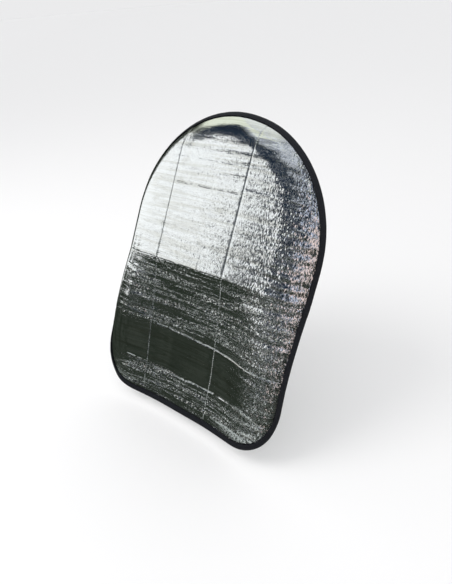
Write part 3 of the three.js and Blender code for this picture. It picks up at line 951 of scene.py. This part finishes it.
def tape_material(shade):
    """Closely woven black tape."""
    finish = shade.finish

    def build(maker, pattern):
        over, along = maker.parts(pattern)[:2]
        warp = over.wave(0.00070)
        weft = along.wave(0.00110)
        weave = warp * weft
        fuzz = maker.noise(pattern, (0.0006, 0.0006), 2.0)
        patchy = maker.noise(pattern, (0.012, 0.008), 2.0)
        return {
            "Base Color": maker.blend((weave * 0.25 + fuzz * 0.6 + patchy * 0.3).smooth(0.35, 0.9),
                                      tuple(finish.tape), tuple(finish.tape_worn)),
            "Roughness": fuzz * 0.15 + 0.66,
            "Specular IOR Level": 0.35,
            "Height": weave * 0.00005 + fuzz * 0.00005,
        }

    return material_with("woven_tape", build)


def thread_material(shade):
    """Black sewing thread with a twist."""
    finish = shade.finish

    def build(maker, pattern):
        place = maker.value("ShaderNodeTexCoord", output=3)
        twist = maker.value("ShaderNodeTexNoise", None,
                            {"Vector": place, "Scale": 2200.0, "Detail": 1.0})
        return {
            "Base Color": maker.blend(twist, tuple(finish.tape), tuple(finish.tape_worn)),
            "Roughness": twist * 0.2 + 0.45,
            "Height": twist * 0.00004,
        }

    return material_with("sewing_thread", build)


def elastic_material(shade):
    """Knitted elastic with ribs along its length."""
    finish = shade.finish

    def build(maker, pattern):
        along, over = maker.parts(pattern)[:2]
        ribs = over.wave(0.0013)
        knit = along.wave(0.0009)
        fuzz = maker.noise(pattern, (0.0007, 0.0005), 2.0)
        raised = (ribs * 0.35 + knit * ribs * 0.25 + fuzz * 0.5).smooth(0.0, 0.8)
        return {
            "Base Color": maker.blend(raised, tuple(finish.elastic), tuple(finish.elastic_rib)),
            "Roughness": fuzz * 0.12 + 0.7,
            "Height": ribs * 0.00012 + knit * 0.00004 + fuzz * 0.00003,
        }

    return material_with("ribbed_elastic", build)


def plain_material(name, colour_, roughness):
    """A plain surface for the stage."""
    material = bpy.data.materials.new(name)
    maker = NodeMaker(material)
    surface = maker.value("ShaderNodeBsdfPrincipled", None,
                          {"Base Color": (*colour_, 1.0), "Roughness": roughness})
    maker.node("ShaderNodeOutputMaterial", None, {"Surface": surface})
    return material


# Stage

def place_camera(stage):
    """The camera, at the picture's viewing angle."""
    yaw, pitch, roll = stage.camera_yaw, stage.camera_pitch, stage.camera_roll
    ahead = Vector((-math.sin(yaw) * math.cos(pitch), math.cos(yaw) * math.cos(pitch),
                    -math.sin(pitch)))
    level = Vector((math.cos(yaw), math.sin(yaw), 0))
    above = level.cross(ahead)
    right = level * math.cos(roll) + above * math.sin(roll)
    over = above * math.cos(roll) - level * math.sin(roll)
    data = bpy.data.cameras.new("camera")
    data.sensor_width = stage.sensor
    data.lens = stage.focal_pixels / max(stage.image_width, stage.image_height) * stage.sensor
    camera = bpy.data.objects.new("camera", data)
    turn = Matrix((right, over, -ahead)).transposed().to_4x4()
    spot = Vector((stage.camera_across, -stage.camera_back, stage.camera_up))
    camera.matrix_world = Matrix.Translation(spot) @ turn
    bpy.context.scene.collection.objects.link(camera)
    bpy.context.scene.camera = camera


def lay_floor(stage):
    """A plain pale floor just below the shade."""
    bm = bmesh.new()
    bmesh.ops.create_grid(bm, x_segments=2, y_segments=2, size=stage.floor_size,
                          matrix=Matrix.Translation((0, 0, CAD_BOX[0][2] - stage.floor_gap)))
    mesh = bpy.data.meshes.new("floor")
    bm.to_mesh(mesh)
    bm.free()
    mesh.materials.append(plain_material("pale_floor", tuple(stage.floor), 0.9))
    floor = bpy.data.objects.new("floor", mesh)
    floor.visible_glossy = False
    bpy.context.scene.collection.objects.link(floor)


def hang_lamp(stage):
    """One soft lamp that points at the shade and isn't mirrored in it."""
    data = bpy.data.lights.new("key_lamp", "AREA")
    data.shape, data.size, data.energy = "DISK", stage.lamp_size, stage.lamp_power
    data.color = stage.lamp
    lamp = bpy.data.objects.new("key_lamp", data)
    spot = Vector((stage.lamp_across, -stage.lamp_back, stage.lamp_up))
    lamp.matrix_world = (Matrix.Translation(spot)
                         @ (-spot).to_track_quat("-Z", "Y").to_matrix().to_4x4())
    lamp.visible_glossy = False
    bpy.context.scene.collection.objects.link(lamp)


# What the foil mirrors
ROOM_DARK, ROOM_DIM = (0.020, 0.026, 0.019), (0.075, 0.085, 0.070)
FRONT_LOW, FRONT_HIGH, FRONT_SPOT = (0.022, 0.027, 0.023), (0.016, 0.022, 0.042), (0.84, 0.88, 0.92)
SIDE_WARM, SIDE_COOL, SIDE_SPOT = (1.10, 0.90, 0.86), (0.78, 0.88, 1.10), (0.020, 0.024, 0.045)
CEILING, OVERHEAD_DIM, OVERHEAD = (0.014, 0.024, 0.042), (0.20, 0.22, 0.26), (0.78, 0.82, 0.90)
PALE_STRIP, BEHIND, LOW_LIGHT = (0.84, 0.88, 0.74), (0.80, 0.83, 0.80), (0.60, 0.64, 0.62)
GROUND_DIM, GROUND = (0.50, 0.52, 0.51), (0.76, 0.77, 0.76)
SCREEN = (1.08, 1.10, 1.10)
FAR_FLOOR = 0.97      # brightness of the far floor over that of an evenly lit one


def mirrored_room(maker):
    """What the foil mirrors: a bright screen on the left, a dark ceiling and a dark room below.
    Side is 0 in front of the panel and grows to the right, level is 90 overhead."""
    way = maker.value("ShaderNodeTexCoord", output=0)
    x, y, z = maker.parts(way)
    degrees = 180 / math.pi
    side = x.math("ARCTAN2", x, y * -1.0) * degrees
    level = z.math("ARCSINE", z.low(0.9999).high(-0.9999)) * degrees
    mottle = maker.value("ShaderNodeTexNoise", None,
                         {"Vector": maker.stretch(way, (1.0, 1.0, 2.2)), "Scale": 7.0,
                          "Detail": 4.0, "Roughness": 0.65})
    streak = mottle.smooth(0.42, 0.62)
    # Around and below: a dark room
    seen = maker.blend(streak * 0.4, ROOM_DARK, ROOM_DIM)
    # In front, above the room: dark, with bright spots
    floor = side.smooth(24, 2) * 15.0
    front = side.band(-33, 64, 6) * (level - floor).smooth(-4, 4) * level.smooth(41, 31)
    spots = (mottle - side.smooth(26, 8) * level.smooth(16, 26) * 0.07).smooth(0.55, 0.61)
    shadow = maker.blend(level.smooth(12, 26), FRONT_LOW, FRONT_HIGH)
    seen = maker.blend(front, seen, maker.blend(spots, shadow, FRONT_SPOT))
    # On the right: bright, warm below and cool above, with dark spots
    right = side.band(50, 110, 6) * level.band(-2, 62, 4)
    tint = maker.blend(level.smooth(10, 30), SIDE_WARM, SIDE_COOL)
    darker = level.smooth(12, 30) * 0.05 + level.smooth(38, 52) * 0.14
    seen = maker.blend(right, seen,
                       maker.blend((mottle - darker).smooth(0.40, 0.50), SIDE_SPOT, tint))
    # The dark ceiling, and pale light over it
    seen = maker.blend(side.band(-86, 48, 5) * level.band(34, 62, 1.5), seen, CEILING)
    seen = maker.blend(level.smooth(62, 68), seen, maker.blend(streak, OVERHEAD_DIM, OVERHEAD))
    # A pale strip beside the ceiling
    brim = (side + 90).low(0.0) * 0.6 + 40.0
    seen = maker.blend(side.band(-150, -84, 5) * (level - brim).band(0, 44, 3), seen, PALE_STRIP)
    # The pale floor far below, which is all that the back mirrors
    away = abs(side)
    ground = level.smooth(-62, -70).high(away.smooth(95, 110) * level.smooth(-34, -42))
    seen = maker.blend(ground, seen, maker.blend(streak, GROUND_DIM, GROUND))
    # Light that comes up from low in front
    seen = maker.blend(side.band(-66, 14, 6) * level.band(-60, -34, 4), seen, LOW_LIGHT)
    # Behind
    behind = (away.smooth(118, 128) * level.band(3, 72, 6)).high(
        away.smooth(150, 165) * level.smooth(75, 69))
    seen = maker.blend(behind, seen, BEHIND)
    # The bright screen on the left, over a dark hump
    foot = (4.0 + (side + 60).low(0.0) * 0.25 + (side + 86).low(0.0).high(-14.0) * 0.9
            + side.band(-67, -34, 3) * 5.5)
    head = 35.0 + (side + 50).low(0.0) * 0.09
    screen = ((level - foot).smooth(-1.0, 1.0) * (level - head).smooth(1.0, -1.0)
              * side.band(-101, -36, 1.5))
    return maker.blend(screen, seen, SCREEN)


def studio_world(stage):
    """Soft pale light all round. Only mirrored rays see the room that the foil mirrors."""
    world = bpy.data.worlds.new("studio")
    maker = NodeMaker(world)
    seen = mirrored_room(maker)
    # The camera sees the backdrop as bright as the far floor, so that no horizon shows
    wall = tuple(FAR_FLOOR * light * tone for light, tone in zip(stage.backdrop, stage.floor))
    rays = maker.node("ShaderNodeLightPath").outputs
    shown = maker.blend(Shade(maker, rays["Is Camera Ray"]), tuple(stage.backdrop), wall)
    shown = maker.blend(Shade(maker, rays["Is Glossy Ray"]), shown, seen)
    light = maker.value("ShaderNodeBackground", None, {"Color": shown, "Strength": 1.0})
    maker.node("ShaderNodeOutputWorld", None, {"Surface": light})
    bpy.context.scene.world = world


# Operators and panel

class SUNSHADE_OT_panel(bpy.types.Operator):
    """Builds the foil panel in place of its plain solid"""

    bl_idname = "sunshade.panel"
    bl_label = "Foil Panel"

    def execute(self, context):
        build_panel(context.scene.sunshade)
        return {"FINISHED"}


class SUNSHADE_OT_binding(bpy.types.Operator):
    """Builds the edge tape and its stitches"""

    bl_idname = "sunshade.binding"
    bl_label = "Edge Tape"

    def execute(self, context):
        build_binding(context.scene.sunshade)
        return {"FINISHED"}


class SUNSHADE_OT_strap(bpy.types.Operator):
    """Builds the elastic strap behind the rim"""

    bl_idname = "sunshade.strap"
    bl_label = "Elastic Strap"

    def execute(self, context):
        build_strap(context.scene.sunshade)
        return {"FINISHED"}


class SUNSHADE_OT_stage(bpy.types.Operator):
    """Sets the camera, the floor and the light"""

    bl_idname = "sunshade.stage"
    bl_label = "Stage"

    def execute(self, context):
        stage = context.scene.sunshade.stage
        place_camera(stage)
        lay_floor(stage)
        studio_world(stage)
        hang_lamp(stage)
        context.scene.view_settings.view_transform = "Standard"
        return {"FINISHED"}


class SUNSHADE_PT_sidebar(bpy.types.Panel):
    """Lists the steps that build the sunshade"""

    bl_label = "Sunshade"
    bl_idname = "SUNSHADE_PT_sidebar"
    bl_space_type = "VIEW_3D"
    bl_region_type = "UI"
    bl_category = "Sunshade"

    def draw(self, context):
        for operator in OPERATORS:
            self.layout.operator(operator.bl_idname)
        shade = context.scene.sunshade
        for name in ("wheel", "pattern", "laminate", "trim", "finish", "stage"):
            box = self.layout.box()
            box.label(text=name.capitalize())
            group = getattr(shade, name)
            for key in group.bl_rna.properties.keys():
                if key not in ("rna_type", "name"):
                    box.prop(group, key)


GROUPS = (SunshadeWheel, SunshadePattern, SunshadeLaminate, SunshadeTrim, SunshadeFinish,
          SunshadeStage, Sunshade)
OPERATORS = (SUNSHADE_OT_stage, SUNSHADE_OT_panel, SUNSHADE_OT_binding, SUNSHADE_OT_strap)


def register():
    for cls in (*GROUPS, *OPERATORS, SUNSHADE_PT_sidebar):
        bpy.utils.register_class(cls)
    bpy.types.Scene.sunshade = PointerProperty(type=Sunshade)


def unregister():
    del bpy.types.Scene.sunshade
    for cls in reversed((*GROUPS, *OPERATORS, SUNSHADE_PT_sidebar)):
        bpy.utils.unregister_class(cls)


def main():
    register()
    bpy.ops.sunshade.stage()
    bpy.ops.sunshade.panel()
    bpy.ops.sunshade.binding()
    bpy.ops.sunshade.strap()


if __name__ == "__main__":
    main()
